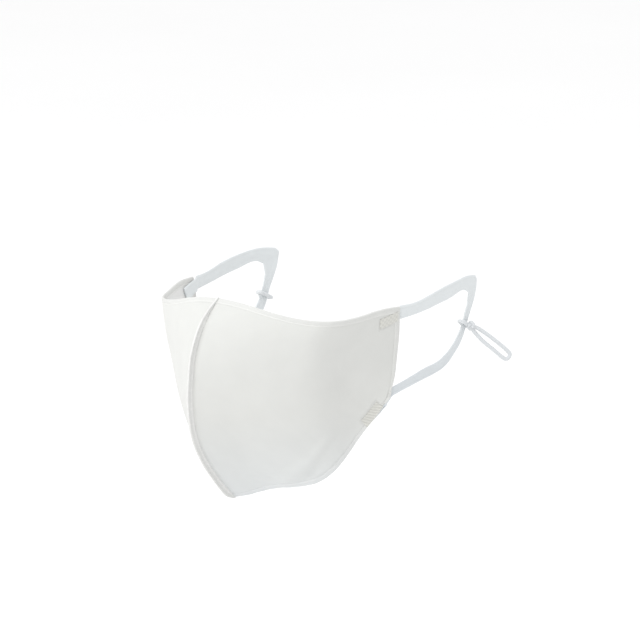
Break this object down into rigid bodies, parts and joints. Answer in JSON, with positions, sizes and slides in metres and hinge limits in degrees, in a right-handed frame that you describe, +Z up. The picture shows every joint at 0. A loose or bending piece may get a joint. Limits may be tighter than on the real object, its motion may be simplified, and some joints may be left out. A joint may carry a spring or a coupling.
{
  "type": "disposable dust mask",
  "caption": "Cup-shaped nonwoven dust mask of two halves joined by a welded centre seam, with soft ear straps welded at the corners and a knotted cord loop behind each.",
  "frame": {"origin": "top of the centre seam, on the bridge of the nose", "axes": "+Z up, -Y forward out of the face, +X the wearer's left"},
  "size_m": [0.1788, 0.1708, 0.1138],
  "materials": {
    "cover_nonwoven": "matte spunbond nonwoven with fine point bonds",
    "filter_nonwoven": "matte melt-blown fibre web",
    "lining_nonwoven": "matte soft spunbond nonwoven",
    "hem_nonwoven": "nonwoven plies welded together",
    "seam_weld": "nonwoven plies welded face to face",
    "strap_nonwoven": "matte stretch nonwoven",
    "weld": "knurled weld, slightly glossy",
    "cord_braid": "round braided elastic cord"
  },
  "bodies": {
    "seam": {"centre_seam": "seam_weld"},
    "left_half": {"left_outer_shell": "cover_nonwoven", "left_filter_layer": "filter_nonwoven", "left_lining": "lining_nonwoven", "left_top_hem": "hem_nonwoven", "left_bottom_hem": "hem_nonwoven", "left_rear_hem": "hem_nonwoven", "left_upper_strap_tab": "strap_nonwoven", "left_lower_strap_tab": "strap_nonwoven", "left_upper_weld": "weld", "left_lower_weld": "weld"},
    "left_strap": {"left_ear_strap": "strap_nonwoven", "left_cord_hitch": "cord_braid", "left_cord_knot": "cord_braid"},
    "left_loop": {"left_cord": "cord_braid"},
    "right_half": {"right_outer_shell": "cover_nonwoven", "right_filter_layer": "filter_nonwoven", "right_lining": "lining_nonwoven", "right_top_hem": "hem_nonwoven", "right_bottom_hem": "hem_nonwoven", "right_rear_hem": "hem_nonwoven", "right_upper_strap_tab": "strap_nonwoven", "right_lower_strap_tab": "strap_nonwoven", "right_upper_weld": "weld", "right_lower_weld": "weld"},
    "right_strap": {"right_ear_strap": "strap_nonwoven", "right_cord_hitch": "cord_braid", "right_cord_knot": "cord_braid"},
    "right_loop": {"right_cord": "cord_braid"}
  },
  "joints": [
    {"name": "left_half_fold", "type": "hinge", "parent": "seam", "child": "left_half", "pos_m": [0, 0.014, 0], "axis": [0, 0, 1], "range_deg": [0, 24]},
    {"name": "right_half_fold", "type": "hinge", "parent": "seam", "child": "right_half", "pos_m": [0, 0.014, 0], "axis": [0, 0, -1], "range_deg": [0, 24]},
    {"name": "left_strap_swing", "type": "hinge", "parent": "left_half", "child": "left_strap", "pos_m": [0.0727, 0.0649, -0.01], "axis": [-0.0994, -0.037, -0.9944], "range_deg": [-6, 155]},
    {"name": "right_strap_swing", "type": "hinge", "parent": "right_half", "child": "right_strap", "pos_m": [-0.0727, 0.0649, -0.01], "axis": [-0.0994, 0.037, 0.9944], "range_deg": [-6, 155]},
    {"name": "left_loop_swing", "type": "hinge", "parent": "left_strap", "child": "left_loop", "pos_m": [0.07306, 0.12641, -0.02645], "axis": [0.7121, -0.7021, 0], "range_deg": [-45, 35]},
    {"name": "right_loop_swing", "type": "hinge", "parent": "right_strap", "child": "right_loop", "pos_m": [-0.07306, 0.12641, -0.02645], "axis": [0.7121, 0.7021, 0], "range_deg": [-45, 35]}
  ],
  "couplings": [
    {"joint": "right_half_fold", "follows": "left_half_fold", "ratio": 1}
  ]
}
